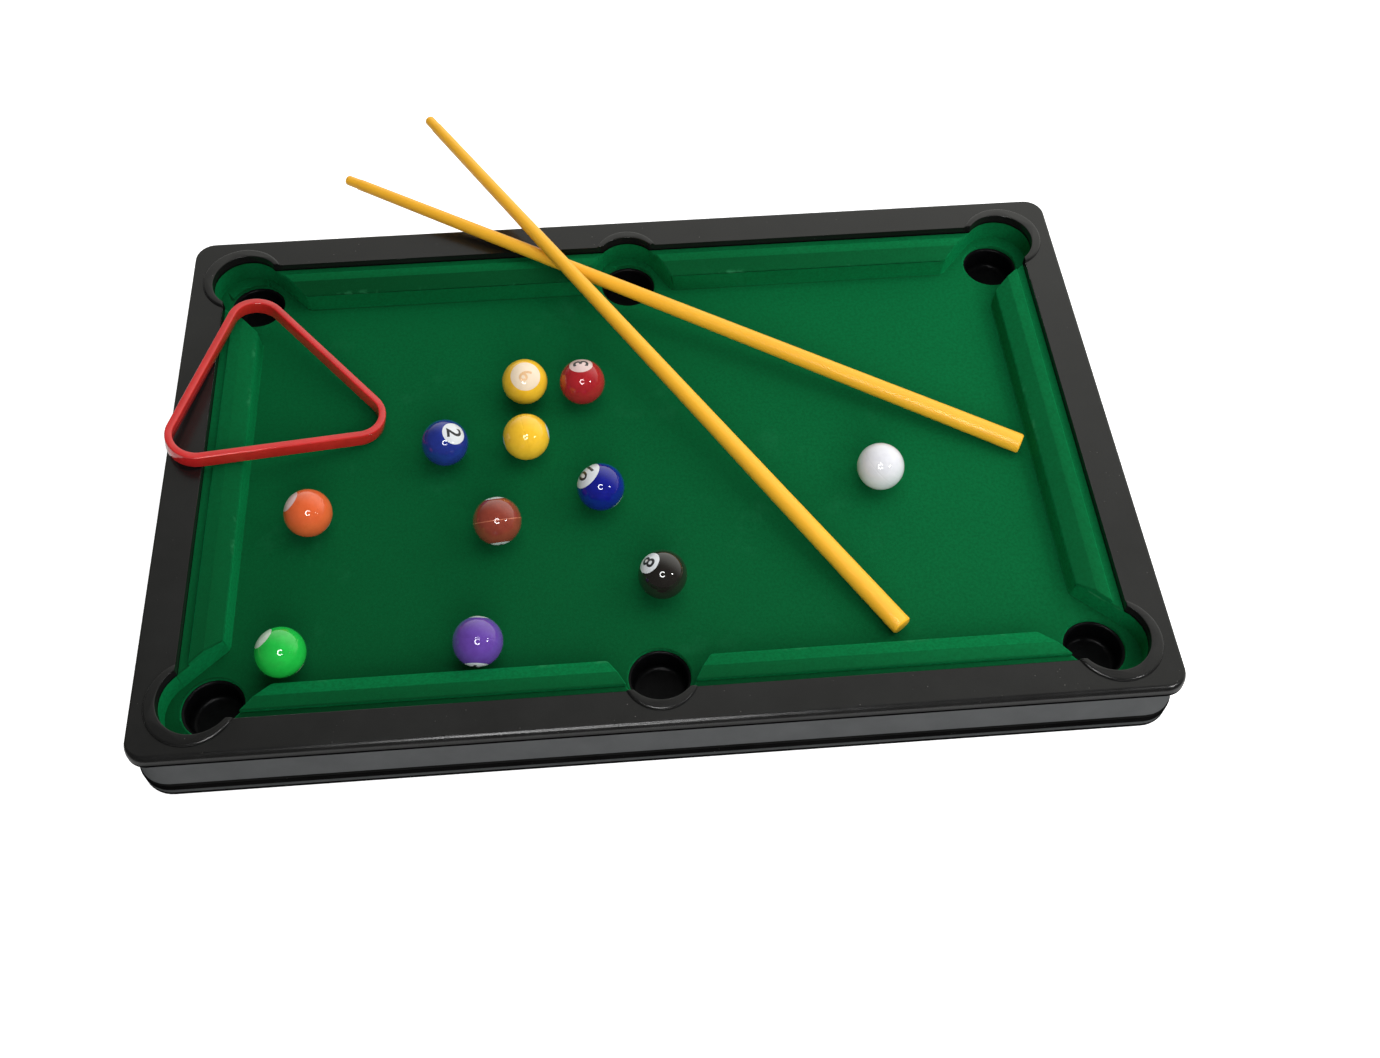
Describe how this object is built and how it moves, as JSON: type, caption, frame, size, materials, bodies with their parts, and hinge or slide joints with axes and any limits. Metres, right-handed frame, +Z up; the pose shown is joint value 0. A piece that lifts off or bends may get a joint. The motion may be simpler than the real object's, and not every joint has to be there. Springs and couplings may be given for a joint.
{
  "type": "mini pool table",
  "caption": "Tabletop pool game: moulded rail frame over a flocked bed with cushions and pocket cups, loose balls, triangle rack and crossed cues.",
  "frame": {"origin": "centre of the base's underside; the foot pads stand 0.8 mm below it", "axes": "+X along the table's length, +Y towards the far long side, away from the cues' butts, +Z up"},
  "size_m": [0.512, 0.4079, 0.0622],
  "materials": {
    "rail_plastic": "satin black, fine moulded texture",
    "green_flock": "short green flock on moulded plastic",
    "base_plastic": "satin black",
    "cup_plastic": "gloss black",
    "screw_steel": "zinc plated",
    "pad_rubber": "matt black",
    "ball_yellow": "polished",
    "ball_blue": "polished",
    "ball_red": "polished",
    "ball_purple": "polished",
    "ball_orange": "polished",
    "ball_green": "polished",
    "ball_brown": "polished",
    "ball_black": "polished",
    "ball_white": "polished",
    "rack_plastic": "gloss red",
    "cue_plastic": "gloss yellow-orange"
  },
  "bodies": {
    "table": {"rail_frame": "rail_plastic", "playing_bed": "green_flock", "cushion_back_left": "green_flock", "cushion_back_right": "green_flock", "cushion_front_left": "green_flock", "cushion_front_right": "green_flock", "cushion_left": "green_flock", "cushion_right": "green_flock", "pocket_bay_back_left": "green_flock", "pocket_bay_back_middle": "green_flock", "pocket_bay_back_right": "green_flock", "pocket_bay_front_left": "green_flock", "pocket_bay_front_middle": "green_flock", "pocket_bay_front_right": "green_flock", "base_rim": "base_plastic", "bottom_panel": "base_plastic", "bed_ribs": "base_plastic", "pocket_cup_back_left": "cup_plastic", "pocket_cup_back_middle": "cup_plastic", "pocket_cup_back_right": "cup_plastic", "pocket_cup_front_left": "cup_plastic", "pocket_cup_front_middle": "cup_plastic", "pocket_cup_front_right": "cup_plastic", "assembly_screws": "screw_steel", "foot_pads": "pad_rubber"},
    "ball_1": {"ball_1": "ball_yellow"},
    "ball_2": {"ball_2": "ball_blue"},
    "ball_3": {"ball_3": "ball_red"},
    "ball_4": {"ball_4": "ball_purple"},
    "ball_5": {"ball_5": "ball_orange"},
    "ball_6": {"ball_6": "ball_green"},
    "ball_7": {"ball_7": "ball_brown"},
    "ball_8": {"ball_8": "ball_black"},
    "ball_9": {"ball_9": "ball_yellow"},
    "ball_10": {"ball_10": "ball_blue"},
    "cue_ball": {"cue_ball": "ball_white"},
    "rack": {"rack": "rack_plastic"},
    "cue_a": {"cue_a": "cue_plastic"},
    "cue_b": {"cue_b": "cue_plastic"}
  },
  "joints": [
    {"name": "ball_1_lift", "type": "slide", "parent": "table", "child": "ball_1", "axis": [0, 0, 1], "range_m": [0, 0.05]},
    {"name": "ball_2_lift", "type": "slide", "parent": "table", "child": "ball_2", "axis": [0, 0, 1], "range_m": [0, 0.05]},
    {"name": "ball_3_lift", "type": "slide", "parent": "table", "child": "ball_3", "axis": [0, 0, 1], "range_m": [0, 0.05]},
    {"name": "ball_4_lift", "type": "slide", "parent": "table", "child": "ball_4", "axis": [0, 0, 1], "range_m": [0, 0.05]},
    {"name": "ball_5_lift", "type": "slide", "parent": "table", "child": "ball_5", "axis": [0, 0, 1], "range_m": [0, 0.05]},
    {"name": "ball_6_lift", "type": "slide", "parent": "table", "child": "ball_6", "axis": [0, 0, 1], "range_m": [0, 0.05]},
    {"name": "ball_7_lift", "type": "slide", "parent": "table", "child": "ball_7", "axis": [0, 0, 1], "range_m": [0, 0.05]},
    {"name": "ball_8_lift", "type": "slide", "parent": "table", "child": "ball_8", "axis": [0, 0, 1], "range_m": [0, 0.05]},
    {"name": "ball_9_lift", "type": "slide", "parent": "table", "child": "ball_9", "axis": [0, 0, 1], "range_m": [0, 0.05]},
    {"name": "ball_10_lift", "type": "slide", "parent": "table", "child": "ball_10", "axis": [0, 0, 1], "range_m": [0, 0.05]},
    {"name": "cue_ball_lift", "type": "slide", "parent": "table", "child": "cue_ball", "axis": [0, 0, 1], "range_m": [0, 0.05]},
    {"name": "rack_lift", "type": "slide", "parent": "table", "child": "rack", "axis": [0, 0, 1], "range_m": [0, 0.05]},
    {"name": "cue_a_lift", "type": "slide", "parent": "table", "child": "cue_a", "axis": [0, 0, 1], "range_m": [0, 0.06]},
    {"name": "cue_b_lift", "type": "slide", "parent": "cue_a", "child": "cue_b", "axis": [0, 0, 1], "range_m": [0, 0.04]}
  ]
}
